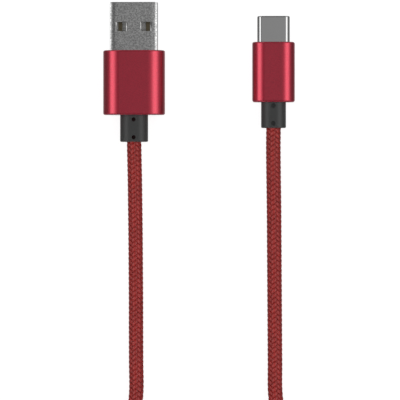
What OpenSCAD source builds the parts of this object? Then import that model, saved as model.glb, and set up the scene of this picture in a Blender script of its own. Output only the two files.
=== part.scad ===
// Charging cable: a USB-A plug and a USB-C plug in rounded metal housings, joined by a braided cord.
// The cable lies flat. +Y runs towards the plug tips, +X from the USB-A plug to the USB-C plug, +Z up.
// The origin is on the surface below the middle of the two plugs. Each plug is drawn in its own place:
// y = 0 at the front face of its housing, z = 0 at its middle height.

/* [Plug places] */
// Clear space between the two housings
plug_gap = 22.1; // [16:0.1:40]
// How far the USB-C tip lies behind the USB-A tip
usb_c_setback = 3.5; // [0:0.1:8]

/* [USB-A shell] */
// Width of the steel shell
usb_a_shell_w = 12; // [11:0.1:13]
// Height of the steel shell
usb_a_shell_h = 4.5; // [4.2:0.1:5]
// Sheet thickness of the shell
usb_a_shell_wall = 0.3; // [0.2:0.02:0.4]
// Outer corner radius of the shell
usb_a_shell_r = 0.6; // [0.4:0.05:1]
// Length of shell that stands out of the housing
usb_a_shell_out = 12.2; // [10:0.1:14]
// Length of shell held inside the housing
usb_a_shell_in = 5.5; // [4:0.1:6]
// Width of a latch window
usb_a_window_w = 2.6; // [1.5:0.1:3]
// Length of a latch window
usb_a_window_l = 2.25; // [1.5:0.05:3]
// Distance between the middles of the two windows
usb_a_window_pitch = 5.9; // [4:0.1:6.5]
// Distance from the tip to the near edge of a window
usb_a_window_setback = 5.1; // [3:0.1:6]
// Width of the folded sheet's seam on the lower face
usb_a_seam_w = 0.08; // [0.04:0.01:0.2]

/* [USB-A contacts] */
// Depth of the mouth, from the tip to the block behind the tongue
usb_a_mouth_depth = 8.9; // [8:0.1:10]
// Thickness of the tongue
usb_a_tongue_t = 1.84; // [1.6:0.02:2]
// How far the tongue ends behind the tip
usb_a_tongue_setback = 0.3; // [0.1:0.05:0.8]
// Width of a contact
usb_a_contact_w = 1; // [0.8:0.05:1.2]
// Thickness of a contact
usb_a_contact_t = 0.3; // [0.2:0.02:0.4]
// Distance between the two power contacts
usb_a_power_pitch = 7; // [6.5:0.1:8]
// Distance between the two data contacts
usb_a_data_pitch = 2; // [1.6:0.1:2.6]
// How far the power contacts begin behind the tip
usb_a_power_setback = 1.2; // [0.8:0.1:1.8]
// How far the data contacts begin behind the tip
usb_a_data_setback = 2.2; // [1.8:0.1:3]
// Length of the solder tails behind the tongue's block
usb_a_tail_l = 1.3; // [0.8:0.1:1.6]

/* [USB-A housing] */
// Width of the housing
usb_a_housing_w = 15.7; // [15:0.1:18]
// Height of the housing
usb_a_housing_h = 7.2; // [7:0.1:9]
// Length of the housing
usb_a_housing_l = 16.4; // [16:0.1:22]
// Radius of the housing's long edges
usb_a_housing_r = 3.5; // [2.4:0.1:3.5]
// Width of the strain relief
usb_a_relief_w = 7.1; // [6:0.1:9]
// Height of the strain relief
usb_a_relief_h = 5.2; // [5:0.1:6]
// Length of strain relief that shows
usb_a_relief_l = 6.8; // [4:0.1:12]
// Distance from the housing to the front pit on the strain relief
usb_a_pit_front = 1.15; // [0.8:0.05:1.5]

/* [USB-C shell] */
// Width of the steel shell
usb_c_shell_w = 8.25; // [8:0.05:8.5]
// Height of the steel shell
usb_c_shell_h = 2.4; // [2.36:0.02:2.6]
// Wall of the shell
usb_c_shell_wall = 0.25; // [0.2:0.01:0.27]
// Length of shell that stands out of the housing
usb_c_shell_out = 6.6; // [6:0.1:7.5]
// Length of shell held inside the housing
usb_c_shell_in = 3; // [2.6:0.1:3.4]

/* [USB-C contacts] */
// Height of the slot that takes the socket's tongue
usb_c_slot_h = 0.84; // [0.76:0.02:0.9]
// Width of the slot that takes the socket's tongue
usb_c_slot_w = 6.9; // [6.8:0.02:6.9]
// Depth of the slot from the tip
usb_c_slot_depth = 5.9; // [5.4:0.1:6.2]
// Width of a contact
usb_c_contact_w = 0.25; // [0.2:0.01:0.3]
// Thickness of a contact
usb_c_contact_t = 0.16; // [0.12:0.01:0.2]
// How far the contacts begin behind the tip
usb_c_contact_setback = 1.6; // [1.55:0.05:2]
// How far a contact's bump stands into the slot
usb_c_bump_h = 0.14; // [0.05:0.01:0.2]

/* [USB-C latch] */
// Width of a latch arm, across the plug
usb_c_arm_w = 0.15; // [0.12:0.01:0.16]
// Height of a latch arm
usb_c_arm_h = 0.4; // [0.3:0.02:0.4]
// How far a latch hook reaches in from its arm
usb_c_hook_reach = 0.31; // [0.2:0.01:0.35]
// Length of a latch hook
usb_c_hook_l = 0.6; // [0.4:0.05:0.8]

/* [USB-C board] */
// Thickness of the circuit board
usb_c_board_t = 0.76; // [0.7:0.02:0.78]
// Width of the circuit board
usb_c_board_w = 7; // [6:0.1:7.2]
// Length of the circuit board
usb_c_board_l = 5.5; // [5:0.1:5.8]
// Width of the steel can round the board
usb_c_can_w = 8.7; // [8.6:0.05:8.8]
// Height of the steel can round the board
usb_c_can_h = 3.4; // [3.3:0.05:3.5]
// Sheet thickness of the can
usb_c_can_wall = 0.15; // [0.1:0.01:0.15]

/* [USB-C housing] */
// Width of the housing
usb_c_housing_w = 10.8; // [10.8:0.1:13]
// Height of the housing
usb_c_housing_h = 5.6; // [5.6:0.1:7]
// Length of the housing
usb_c_housing_l = 15.3; // [15:0.1:20]
// Radius of the housing's long edges
usb_c_housing_r = 2.7; // [2:0.1:2.8]
// Width of the strain relief
usb_c_relief_w = 6.3; // [6:0.1:8]
// Height of the strain relief
usb_c_relief_h = 5; // [4.9:0.05:5.1]
// Length of strain relief that shows
usb_c_relief_l = 6.5; // [4:0.1:12]
// Distance from the housing to the front pit on the strain relief
usb_c_pit_front = 0.7; // [0.6:0.05:1.5]

/* [Inside both housings] */
// Side wall of a housing
housing_wall = 0.6; // [0.5:0.05:0.7]
// End wall of a housing, round the strain relief
housing_end_wall = 0.8; // [0.5:0.05:1.2]
// How far the inner mould lies behind the housing's front edge
mould_recess = 0.25; // [0.1:0.05:0.6]
// Step from the strain relief's body to its neck in the end wall
relief_neck_step = 0.4; // [0.3:0.02:0.42]
// Thickness of the strain relief's flange inside the housing
relief_flange_t = 1; // [0.6:0.05:1.2]
// Width of the flange beyond the neck, on each side
relief_flange_lip = 1; // [0.5:0.05:1.2]
// Distance from the rear pit to the strain relief's end
relief_pit_rear = 1.15; // [0.8:0.05:1.5]
// Diameter of a pit
relief_pit_d = 0.85; // [0.5:0.05:1]
// Depth of a pit
relief_pit_depth = 0.5; // [0.3:0.02:0.6]
// Length of the crimp ring on the cord's end
crimp_l = 1.8; // [1:0.1:2]
// Wall of the crimp ring
crimp_wall = 0.3; // [0.2:0.02:0.35]

/* [Cord] */
// Diameter of the braided cord
cord_d = 3.6; // [3.5:0.02:3.6]
// Wall of the braided sleeve and jacket together
cord_wall = 0.55; // [0.4:0.01:0.56]
// Wall of the metal screen under the jacket
screen_wall = 0.2; // [0.1:0.01:0.22]
// Diameter of an insulated wire
wire_d = 0.7; // [0.5:0.01:0.72]
// Distance between two neighbouring wires in the cord
wire_pitch = 0.8; // [0.76:0.01:0.82]
// Clear space between neighbouring turns of the coil
coil_gap = 0.45; // [0.42:0.01:0.6]

/* [Cable tie] */
// Width of the hook-and-loop tie
tie_w = 8; // [5:0.5:10]
// Thickness of the tie
tie_t = 0.7; // [0.4:0.05:0.8]
// Clear space between the tie and the coil
tie_gap = 0.35; // [0.3:0.05:0.6]
// Length of the tie's end that lies on top
tie_flap_l = 9; // [5:0.5:12]

/* [Hidden] */
fit = 0.02;
loose_fit = 0.03;
arc_sides = 64;
steel = "silver";
gold = "goldenrod";
red_metal = "#8c2634";
red_braid = "#96393a";
charcoal = "#3c403f";
wire_colours = ["firebrick", "white", "seagreen", "#202020"];

// Where the plugs lie
both_w = usb_a_housing_w + plug_gap + usb_c_housing_w;
usb_a_l = usb_a_shell_out + usb_a_housing_l + usb_a_relief_l;
usb_a_at = [(usb_a_housing_w - both_w) / 2, usb_a_l / 2 - usb_a_shell_out, usb_a_housing_h / 2];
usb_c_at = [(both_w - usb_c_housing_w) / 2, usb_a_l / 2 - usb_c_setback - usb_c_shell_out, usb_c_housing_h / 2];

// USB-A places, along the plug
usb_a_rear = -usb_a_housing_l;
usb_a_end = usb_a_rear - usb_a_relief_l;
usb_a_flange_front = usb_a_rear + housing_end_wall + loose_fit + relief_flange_t;
usb_a_mould_rear = usb_a_flange_front + loose_fit;
usb_a_block_front = usb_a_shell_out - usb_a_mouth_depth;
usb_a_cavity_w = usb_a_shell_w - 2 * usb_a_shell_wall;
usb_a_cavity_h = usb_a_shell_h - 2 * usb_a_shell_wall;
usb_a_tongue_top = usb_a_tongue_t + fit - usb_a_cavity_h / 2;
usb_a_contact_top = usb_a_tongue_top + loose_fit;
usb_a_tail_end = -usb_a_shell_in - usb_a_tail_l;
usb_a_wire_x = [-usb_a_power_pitch / 2, -usb_a_data_pitch / 2, usb_a_data_pitch / 2, usb_a_power_pitch / 2];

// USB-C places, along the plug
usb_c_rear = -usb_c_housing_l;
usb_c_end = usb_c_rear - usb_c_relief_l;
usb_c_flange_front = usb_c_rear + housing_end_wall + loose_fit + relief_flange_t;
usb_c_mould_rear = usb_c_flange_front + loose_fit;
usb_c_cavity_w = usb_c_shell_w - 2 * usb_c_shell_wall;
usb_c_cavity_h = usb_c_shell_h - 2 * usb_c_shell_wall;
usb_c_nose_setback = 0.25;
usb_c_block_rear = 0.5 - usb_c_shell_in;
usb_c_slot_end = usb_c_shell_out - usb_c_slot_depth;
usb_c_contact_bottom = usb_c_slot_h / 2 - fit;
usb_c_contact_tip = usb_c_shell_out - usb_c_contact_setback;
usb_c_tail_end = usb_c_block_rear - 1.7;
usb_c_upper_x = [-2.75, -1.25, -0.75, -0.25, 0.25, 1.25, 2.75];
usb_c_lower_x = [-2.75, -1.25, 0.75, 1.25, 2.75];
usb_c_board_front = usb_c_block_rear - 0.05;
usb_c_board_rear = usb_c_board_front - usb_c_board_l;
usb_c_can_front = 1 - usb_c_shell_in;
usb_c_can_rear = usb_c_board_rear - 0.75;
usb_c_wire_x = 1.2;

// USB-C latch: the arms lie along the sides of the slot and swing outwards on their roots
usb_c_arm_in = usb_c_slot_w / 2 - fit;
usb_c_arm_out = usb_c_arm_in + usb_c_arm_w;
usb_c_arm_front = usb_c_shell_out - 1.7;
usb_c_arm_rear = usb_c_block_rear + 0.2;
usb_c_root_l = 0.4;
usb_c_root_in = usb_c_arm_in - 0.1;
usb_c_plate_t = 0.3;
usb_c_plate_x = usb_c_root_in - loose_fit;

// Front contact springs in the USB-C nose
usb_c_spring_front = usb_c_shell_out - usb_c_nose_setback - 0.25;
usb_c_spring_rear = usb_c_contact_tip + 0.2;
usb_c_spring_w = 5.2;
usb_c_spring_t = 0.14;
usb_c_spring_pad = 0.5;

// The cord inside a plug: wires, screen, and sleeve with jacket
screen_d = cord_d - 2 * cord_wall - 2 * fit;
screen_bore_d = screen_d - 2 * screen_wall;
jacket_bare_l = 0.5;
screen_bare_l = 0.9;
wire_bend_gap = 0.3;
usb_a_jacket_front = usb_a_mould_rear + crimp_l + jacket_bare_l;
usb_a_screen_front = usb_a_jacket_front + screen_bare_l;
usb_c_jacket_front = usb_c_mould_rear + crimp_l + jacket_bare_l;
usb_c_screen_front = usb_c_jacket_front + screen_bare_l;

// Coil: layered loops that spiral in, climb a layer where the spiral turns back, and spiral out
cord_r = cord_d / 2;
coil_turns = 6.5;
coil_rings = 24;
coil_sides = 6;
coil_centre = [1.7, -114];
coil_r = 26.1;
coil_step = cord_d + coil_gap;
climb_from = 3;
climb_turns = 0.5;
// The coil rests on the tie's lower band on one side, so it lies at a slight slope
coil_slope = 0.022;
coil_far_y = coil_centre[1] - 27;
tie_turns = [0.75, 2.75];

// Routes of the free stretches: x, y and height of the cord above its resting height
route_a = [
    [-16.45, -17.7, 1.8], [-16.4, -21, 1.65], [-16.3, -27, 1.15], [-16.25, -34, 0.45],
    [-16.18, -42, 0.05], [-16.13, -50, 0], [-16.08, -58, 0], [-16.07, -66, 0], [-16.04, -74, 0],
    [-16, -81, 0], [-16.6, -86, 0], [-18.15, -91, 0], [-20.25, -96, 0.05], [-22.35, -101, 0.2],
    [-23.9, -106, 0.45]
];
route_c = [
    [18.9, -14.2, 1], [18.85, -19, 0.9], [18.9, -26, 0.45], [19, -34, 0.1], [19.05, -42, 0],
    [19.1, -50, 0], [19.15, -58, 0], [19.2, -66, 0], [19.25, -74, 0], [19.3, -81, 0],
    [19.95, -86, 0], [21.6, -91, 0.5], [23.7, -96, 1.7], [25.75, -101, 3.1], [27.3, -106, 4.25]
];

// ---- Shared shapes ----

// Rectangle with round corners, no rounder than its sides allow
module rounded_outline(w, h, r) {
    corner = min(r, w / 2, h / 2);
    square([w - 2 * corner, h], center = true);
    if (h - 2 * corner > fit) square([w, h - 2 * corner], center = true);
    for (sx = [-1, 1], sz = [-1, 1])
        translate([sx * (w / 2 - corner), sz * (h / 2 - corner)])
            circle(r = corner, $fn = arc_sides);
}

// Extrudes an outline drawn in X and Z from one place along the plug back to another
module along_plug(front, rear) {
    translate([0, front, 0])
        rotate([90, 0, 0])
            linear_extrude(front - rear) children();
}

module rounded_bar(w, h, r, front, rear) {
    along_plug(front, rear) rounded_outline(w, h, r);
}

// Box given by its limits
module block(x, y, z) {
    translate([x[0], y[0], z[0]])
        cube([x[1] - x[0], y[1] - y[0], z[1] - z[0]]);
}

module round_bar(d, front, rear) {
    translate([0, front, 0])
        rotate([90, 0, 0])
            cylinder(d = d, h = front - rear, $fn = arc_sides);
}

module pipe(d, bore_d, front, rear) {
    difference() {
        round_bar(d, front, rear);
        round_bar(bore_d, front + 1, rear - 1);
    }
}

module at_usb_a() {
    translate(usb_a_at) children();
}

module at_usb_c() {
    translate(usb_c_at) children();
}

// ---- Tubes swept along a route ----

function unit(v) = v / norm(v);

function heading(path, i, first_dir, last_dir) =
    i == 0 ? first_dir
    : i == len(path) - 1 ? last_dir
    : unit(unit(path[i] - path[i - 1]) + unit(path[i + 1] - path[i]));

// Points of one ring, square to dir
function ring(centre, dir, r, sides) =
    let (side = unit(cross(dir, [0, 0, 1])))
    let (up = cross(side, dir))
    [
        for (k = [0:sides - 1])
            let (a = 360 * (k + 0.5) / sides)
            centre + r * (cos(a) * side + sin(a) * up)
    ];

function wall_faces(rings, sides) = [
    for (i = [0:rings - 2], k = [0:sides - 1])
        let (a = i * sides + k)
        let (b = i * sides + (k + 1) % sides)
        each [[a, b, b + sides], [a, b + sides, a + sides]]
];

function cap_faces(rings, sides) =
    let (last = (rings - 1) * sides)
    [for (k = [1:sides - 2]) each [[0, k + 1, k], [last, last + k, last + k + 1]]];

module tube(path, d, sides, first_dir, last_dir) {
    rings = len(path);
    points = [
        for (i = [0:rings - 1])
            each ring(path[i], heading(path, i, first_dir, last_dir), d / 2, sides)
    ];
    polyhedron(points, concat(wall_faces(rings, sides), cap_faces(rings, sides)), convexity = 10);
}

// ---- Pieces that both plugs have ----

// Housing: a cup open at the front, with a hole for the strain relief's neck in its end wall
module housing(w, h, r, l, relief_w, relief_h) {
    difference() {
        rounded_bar(w, h, r, 0, -l);
        rounded_bar(w - 2 * housing_wall, h - 2 * housing_wall, r - housing_wall, 1, housing_end_wall - l);
        rounded_bar(neck_size(relief_w) + 2 * loose_fit, neck_size(relief_h) + 2 * loose_fit,
            neck_size(relief_h) / 2 + loose_fit, 0, -l - 1);
    }
}

function neck_size(size) = size - 2 * relief_neck_step;

// Strain relief: body behind the housing, neck through its end wall, flange inside
module strain_relief(w, h, l, pit_front, rear, flange_front) {
    neck_w = neck_size(w);
    neck_h = neck_size(h);
    difference() {
        union() {
            rounded_bar(w, h, h / 2, rear, rear - l);
            rounded_bar(neck_w, neck_h, neck_h / 2, flange_front, rear - l / 2);
            rounded_bar(neck_w + 2 * relief_flange_lip, neck_h, neck_h / 2,
                flange_front, flange_front - relief_flange_t);
        }
        round_bar(cord_d + 2 * fit, flange_front + 1, rear - l - 1);
        for (y = [rear - pit_front, rear - l + relief_pit_rear], side = [-1, 1])
            translate([0, y, side * h / 2])
                cylinder(d = relief_pit_d, h = 2 * relief_pit_depth, center = true, $fn = arc_sides);
    }
}

module cord_end(front, rear) {
    pipe(cord_d, cord_d - 2 * cord_wall, front, rear);
}

module screen(front, rear) {
    pipe(screen_d, screen_bore_d, front, rear);
}

module crimp_ring(mould_rear) {
    bore = cord_d + 2 * fit;
    pipe(bore + 2 * crimp_wall, bore, mould_rear + crimp_l, mould_rear + fit);
}

// Room in an inner mould for the crimp ring, the sleeve with its jacket, and the bare screen
module cord_room(mould_rear, jacket_front, screen_front) {
    round_bar(cord_d + 2 * crimp_wall + 4 * fit, mould_rear + crimp_l + fit, mould_rear - 1);
    round_bar(cord_d + 2 * fit, jacket_front + fit, mould_rear - 1);
    round_bar(screen_d + 2 * fit, screen_front + 1, mould_rear - 1);
}

// Insulated wire from its solder joint to the cord's end; side and level give its place in the cord
module wire(joint, solder_l, level, side, bend_end, rear) {
    in_cord = [side * wire_pitch / 2, level * wire_pitch / 2];
    path = [
        joint,
        [joint[0], joint[1] - solder_l, joint[2]],
        [in_cord[0], bend_end, in_cord[1]],
        [in_cord[0], rear, in_cord[1]]
    ];
    tube(path, wire_d, 8, [0, -1, 0], [0, -1, 0]);
}

// ---- USB-A plug ----

module usb_a_shell() {
    color(steel)
        at_usb_a()
            difference() {
                rounded_bar(usb_a_shell_w, usb_a_shell_h, usb_a_shell_r, usb_a_shell_out, -usb_a_shell_in);
                rounded_bar(usb_a_cavity_w, usb_a_cavity_h, usb_a_shell_r - usb_a_shell_wall,
                    usb_a_shell_out + 1, -usb_a_shell_in - 1);
                for (side = [-1, 1])
                    translate([
                        side * usb_a_window_pitch / 2,
                        usb_a_shell_out - usb_a_window_setback - usb_a_window_l / 2,
                        0
                    ])
                        cube([usb_a_window_w, usb_a_window_l, 2 * usb_a_shell_h], center = true);
                block([-usb_a_seam_w / 2, usb_a_seam_w / 2], [-usb_a_shell_in - 1, usb_a_shell_out + 1],
                    [-usb_a_shell_h, 0]);
            }
}

// Tongue and the block behind it, one moulding, with a channel for each contact
module usb_a_insulator() {
    tongue_w = usb_a_cavity_w - 2 * fit;
    floor_z = fit - usb_a_cavity_h / 2;
    corner = usb_a_shell_r - usb_a_shell_wall;
    color("#999a9c")
        at_usb_a()
            difference() {
                rounded_bar(tongue_w, usb_a_cavity_h - 2 * fit, corner,
                    usb_a_shell_out - usb_a_tongue_setback, -usb_a_shell_in);
                block([-usb_a_shell_w, usb_a_shell_w], [usb_a_block_front, usb_a_shell_out + 1],
                    [floor_z + usb_a_tongue_t, usb_a_shell_h]);
                for (x = usb_a_wire_x)
                    block([x - usb_a_contact_w / 2 - fit, x + usb_a_contact_w / 2 + fit],
                        [-usb_a_shell_in - 1, contact_front(x) + fit],
                        [usb_a_contact_top - usb_a_contact_t - fit, usb_a_contact_top + fit]);
            }
}

// The power contacts, which are the outer two, begin nearer the tip
function contact_front(x) =
    usb_a_shell_out - (abs(x) > usb_a_data_pitch ? usb_a_power_setback : usb_a_data_setback);

module usb_a_contact(x) {
    color(gold)
        at_usb_a()
            block([x - usb_a_contact_w / 2, x + usb_a_contact_w / 2], [usb_a_tail_end, contact_front(x)],
                [usb_a_contact_top - usb_a_contact_t, usb_a_contact_top]);
}

// Outer wires run in the lower half of the cord, inner wires in the upper half
module usb_a_wire(index) {
    x = usb_a_wire_x[index];
    solder_front = -usb_a_shell_in - fit;
    outer = index == 0 || index == 3;
    color(wire_colours[index])
        at_usb_a()
            wire(
                joint = [x, solder_front, usb_a_contact_top + fit + wire_d / 2],
                solder_l = usb_a_tail_l + wire_bend_gap,
                level = outer ? -1 : 1,
                side = index < 2 ? -1 : 1,
                bend_end = usb_a_screen_front + wire_bend_gap,
                rear = usb_a_end
            );
}

// Moulding that fills the housing round the shell, with a chamber for the wires
module usb_a_inner_mould() {
    chamber_rear = usb_a_screen_front + fit;
    color("#1c1d1e")
        at_usb_a()
            difference() {
                rounded_bar(usb_a_housing_w - 2 * housing_wall - 2 * fit,
                    usb_a_housing_h - 2 * housing_wall - 2 * fit,
                    usb_a_housing_r - housing_wall - fit, -mould_recess, usb_a_mould_rear);
                rounded_bar(usb_a_shell_w + 2 * fit, usb_a_shell_h + 2 * fit, usb_a_shell_r + fit,
                    1, -usb_a_shell_in - fit);
                rounded_bar(usb_a_cavity_w, usb_a_cavity_h, usb_a_shell_r, 0, chamber_rear);
                cord_room(usb_a_mould_rear, usb_a_jacket_front, usb_a_screen_front);
            }
}

module usb_a_housing() {
    color(red_metal)
        at_usb_a()
            housing(usb_a_housing_w, usb_a_housing_h, usb_a_housing_r, usb_a_housing_l,
                usb_a_relief_w, usb_a_relief_h);
}

module usb_a_strain_relief() {
    color(charcoal)
        at_usb_a()
            strain_relief(usb_a_relief_w, usb_a_relief_h, usb_a_relief_l, usb_a_pit_front,
                usb_a_rear, usb_a_flange_front);
}

module usb_a_crimp_ring() {
    color(steel)
        at_usb_a() crimp_ring(usb_a_mould_rear);
}

module usb_a_screen() {
    color("lightgray")
        at_usb_a() screen(usb_a_screen_front, usb_a_end);
}

module usb_a_cord_end() {
    color(red_braid)
        at_usb_a() cord_end(usb_a_jacket_front, usb_a_end);
}

// ---- USB-C plug ----

module usb_c_stadium(w, h, front, rear) {
    rounded_bar(w, h, h / 2, front, rear);
}

module usb_c_shell() {
    color(steel)
        at_usb_c()
            difference() {
                usb_c_stadium(usb_c_shell_w, usb_c_shell_h, usb_c_shell_out, -usb_c_shell_in);
                usb_c_stadium(usb_c_cavity_w, usb_c_cavity_h, usb_c_shell_out + 1, -usb_c_shell_in - 1);
            }
}

// Carrier of the contacts: slot for the socket's tongue, channels, latch room and spring seats
module usb_c_insulator() {
    window_z = usb_c_arm_h / 2 + 0.1;
    plate_z = usb_c_plate_t / 2 + fit;
    window_x = usb_c_root_in - loose_fit;
    color("#141516")
        at_usb_c()
            difference() {
                usb_c_stadium(usb_c_cavity_w - 2 * fit, usb_c_cavity_h - 2 * fit,
                    usb_c_shell_out - usb_c_nose_setback, usb_c_block_rear);
                block([-usb_c_slot_w / 2, usb_c_slot_w / 2], [usb_c_slot_end, usb_c_shell_out + 1],
                    [-usb_c_slot_h / 2, usb_c_slot_h / 2]);
                usb_c_channels(usb_c_upper_x);
                mirror([0, 0, 1]) usb_c_channels(usb_c_lower_x);
                for (side = [0, 1])
                    mirror([side, 0, 0])
                        block([window_x, usb_c_shell_w], [usb_c_block_rear - 1, usb_c_arm_front + 0.5],
                            [-window_z, window_z]);
                block([-usb_c_slot_w / 2, usb_c_slot_w / 2], [usb_c_block_rear - 1, usb_c_slot_end - 0.9],
                    [-plate_z, plate_z]);
                for (side = [0, 1])
                    mirror([0, 0, side])
                        block([-usb_c_spring_w / 2 - fit, usb_c_spring_w / 2 + fit],
                            [usb_c_spring_rear - fit, usb_c_spring_front + fit],
                            [0, usb_c_slot_h / 2 + usb_c_spring_t + fit]);
            }
}

module usb_c_channels(places) {
    half = usb_c_contact_w / 2 + fit;
    for (x = places)
        block([x - half, x + half], [usb_c_block_rear - 1, usb_c_contact_tip + fit],
            [usb_c_contact_bottom - fit, usb_c_contact_bottom + usb_c_contact_t + fit]);
}

// One row of contacts: bars from the slot to the board, each with a bump that presses on the tongue
module usb_c_contact_row(places) {
    half = usb_c_contact_w / 2;
    bump_l = 0.5;
    bump_front = usb_c_contact_tip - 0.3;
    for (x = places) {
        block([x - half, x + half], [usb_c_tail_end, usb_c_contact_tip],
            [usb_c_contact_bottom, usb_c_contact_bottom + usb_c_contact_t]);
        block([x - half, x + half], [bump_front - bump_l, bump_front],
            [usb_c_contact_bottom - usb_c_bump_h, usb_c_contact_bottom + usb_c_contact_t / 2]);
    }
}

module usb_c_upper_contacts() {
    color(gold)
        at_usb_c() usb_c_contact_row(usb_c_upper_x);
}

module usb_c_lower_contacts() {
    color(gold)
        at_usb_c()
            mirror([0, 0, 1]) usb_c_contact_row(usb_c_lower_x);
}

// Strip with three pads that touch the socket's tongue near the plug's mouth
module usb_c_spring() {
    strip_z = usb_c_slot_h / 2;
    pad_h = 0.08;
    block([-usb_c_spring_w / 2, usb_c_spring_w / 2], [usb_c_spring_rear, usb_c_spring_front],
        [strip_z, strip_z + usb_c_spring_t]);
    for (x = [-usb_c_spring_w / 3, 0, usb_c_spring_w / 3])
        block([x - usb_c_spring_pad / 2, x + usb_c_spring_pad / 2],
            [usb_c_spring_rear + 0.2, usb_c_spring_front - 0.2],
            [strip_z - pad_h, strip_z + usb_c_spring_t / 2]);
}

module usb_c_upper_spring() {
    color(steel)
        at_usb_c() usb_c_spring();
}

module usb_c_lower_spring() {
    color(steel)
        at_usb_c()
            mirror([0, 0, 1]) usb_c_spring();
}

// Plate between the two contact rows; the latch arms spring from its sides
module usb_c_latch_plate() {
    color(steel)
        at_usb_c()
            block([-usb_c_plate_x, usb_c_plate_x], [usb_c_arm_rear, usb_c_slot_end - 0.9 - fit],
                [-usb_c_plate_t / 2, usb_c_plate_t / 2]);
}

// Arm with a root beside the plate and a hook with a sloped nose, drawn for the right side
module usb_c_latch_arm() {
    hook_in = usb_c_arm_in - usb_c_hook_reach;
    hook_rear = usb_c_arm_front - usb_c_hook_l;
    root_front = usb_c_arm_rear + usb_c_root_l;
    translate([0, 0, -usb_c_arm_h / 2])
        linear_extrude(usb_c_arm_h)
            polygon([
                [usb_c_root_in, usb_c_arm_rear], [usb_c_arm_out, usb_c_arm_rear],
                [usb_c_arm_out, usb_c_arm_front], [usb_c_arm_in, usb_c_arm_front],
                [hook_in, hook_rear + usb_c_hook_l / 3], [hook_in, hook_rear],
                [usb_c_arm_in, hook_rear], [usb_c_arm_in, root_front], [usb_c_root_in, root_front]
            ]);
}

module usb_c_latch_left() {
    color(steel)
        at_usb_c()
            mirror([1, 0, 0]) usb_c_latch_arm();
}

module usb_c_latch_right() {
    color(steel)
        at_usb_c() usb_c_latch_arm();
}

module usb_c_board() {
    color("darkgreen")
        at_usb_c()
            block([-usb_c_board_w / 2, usb_c_board_w / 2], [usb_c_board_rear, usb_c_board_front],
                [-usb_c_board_t / 2, usb_c_board_t / 2]);
}

// Chip on the board's upper face, between the contacts' tails and the wires
module usb_c_chip(x, h) {
    chip_w = 0.5;
    chip_l = 1;
    middle_y = usb_c_tail_end - 0.3 - chip_l / 2;
    block([x - chip_w / 2, x + chip_w / 2], [middle_y - chip_l / 2, middle_y + chip_l / 2],
        [usb_c_board_t / 2, usb_c_board_t / 2 + h]);
}

module usb_c_resistor() {
    color("#26221f")
        at_usb_c() usb_c_chip(-1.6, 0.35);
}

module usb_c_capacitor() {
    color("tan")
        at_usb_c() usb_c_chip(1.6, 0.5);
}

module usb_c_can() {
    corner = 1.5;
    color(steel)
        at_usb_c()
            difference() {
                rounded_bar(usb_c_can_w, usb_c_can_h, corner, usb_c_can_front, usb_c_can_rear);
                rounded_bar(usb_c_can_w - 2 * usb_c_can_wall, usb_c_can_h - 2 * usb_c_can_wall,
                    corner - usb_c_can_wall, usb_c_can_front + 1, usb_c_can_rear - 1);
            }
}

// Two wires are soldered to the board's upper face and two to its lower face
module usb_c_wire(index) {
    side = index < 2 ? -1 : 1;
    level = index == 0 || index == 3 ? -1 : 1;
    solder_l = 1.4;
    color(wire_colours[index])
        at_usb_c()
            wire(
                joint = [
                    side * usb_c_wire_x,
                    usb_c_board_rear + solder_l,
                    level * (usb_c_board_t / 2 + fit + wire_d / 2)
                ],
                solder_l = solder_l,
                level = level,
                side = side,
                bend_end = usb_c_screen_front + wire_bend_gap,
                rear = usb_c_end
            );
}

module usb_c_inner_mould() {
    chamber_rear = usb_c_screen_front + fit;
    corner = 1.5;
    color("#1c1d1e")
        at_usb_c()
            difference() {
                rounded_bar(usb_c_housing_w - 2 * housing_wall - 2 * fit,
                    usb_c_housing_h - 2 * housing_wall - 2 * fit,
                    usb_c_housing_r - housing_wall - fit, -mould_recess, usb_c_mould_rear);
                usb_c_stadium(usb_c_shell_w + 2 * fit, usb_c_shell_h + 2 * fit, 1, usb_c_can_rear);
                rounded_bar(usb_c_can_w + 2 * fit, usb_c_can_h + 2 * fit, corner + fit,
                    usb_c_can_front + fit, usb_c_can_rear - fit);
                rounded_bar(usb_c_can_w - 2 * usb_c_can_wall, usb_c_can_h - 2 * usb_c_can_wall, corner,
                    usb_c_can_front, chamber_rear);
                cord_room(usb_c_mould_rear, usb_c_jacket_front, usb_c_screen_front);
            }
}

module usb_c_housing() {
    color(red_metal)
        at_usb_c()
            housing(usb_c_housing_w, usb_c_housing_h, usb_c_housing_r, usb_c_housing_l,
                usb_c_relief_w, usb_c_relief_h);
}

module usb_c_strain_relief() {
    color(charcoal)
        at_usb_c()
            strain_relief(usb_c_relief_w, usb_c_relief_h, usb_c_relief_l, usb_c_pit_front,
                usb_c_rear, usb_c_flange_front);
}

module usb_c_crimp_ring() {
    color(steel)
        at_usb_c() crimp_ring(usb_c_mould_rear);
}

module usb_c_screen() {
    color("lightgray")
        at_usb_c() screen(usb_c_screen_front, usb_c_end);
}

module usb_c_cord_end() {
    color(red_braid)
        at_usb_c() cord_end(usb_c_jacket_front, usb_c_end);
}

// ---- Cord, coil and tie ----

function coil_radius(t) = coil_r - coil_step * min(t, coil_turns - t);

function smooth(u) = u * u * (3 - 2 * u);

function coil_climb(t) = coil_step * smooth(max(0, min(1, (t - climb_from) / climb_turns)));

function coil_lift(y) = coil_slope * (y - coil_far_y);

// Place of the cord's middle after t turns
function coil_place(t) =
    let (a = 180 + 360 * t)
    let (y = coil_centre[1] + coil_radius(t) * sin(a))
    [coil_centre[0] + coil_radius(t) * cos(a), y, cord_r + coil_climb(t) + coil_lift(y)];

coil_start = coil_place(0) + [0, cord_d, 0];
coil_end = coil_place(coil_turns) + [0, cord_d, 0];
coil_steps = coil_turns * coil_rings;
coil_path = concat(
    [coil_start],
    [for (i = [0:coil_steps]) coil_place(i / coil_rings)],
    [coil_end]
);

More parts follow.
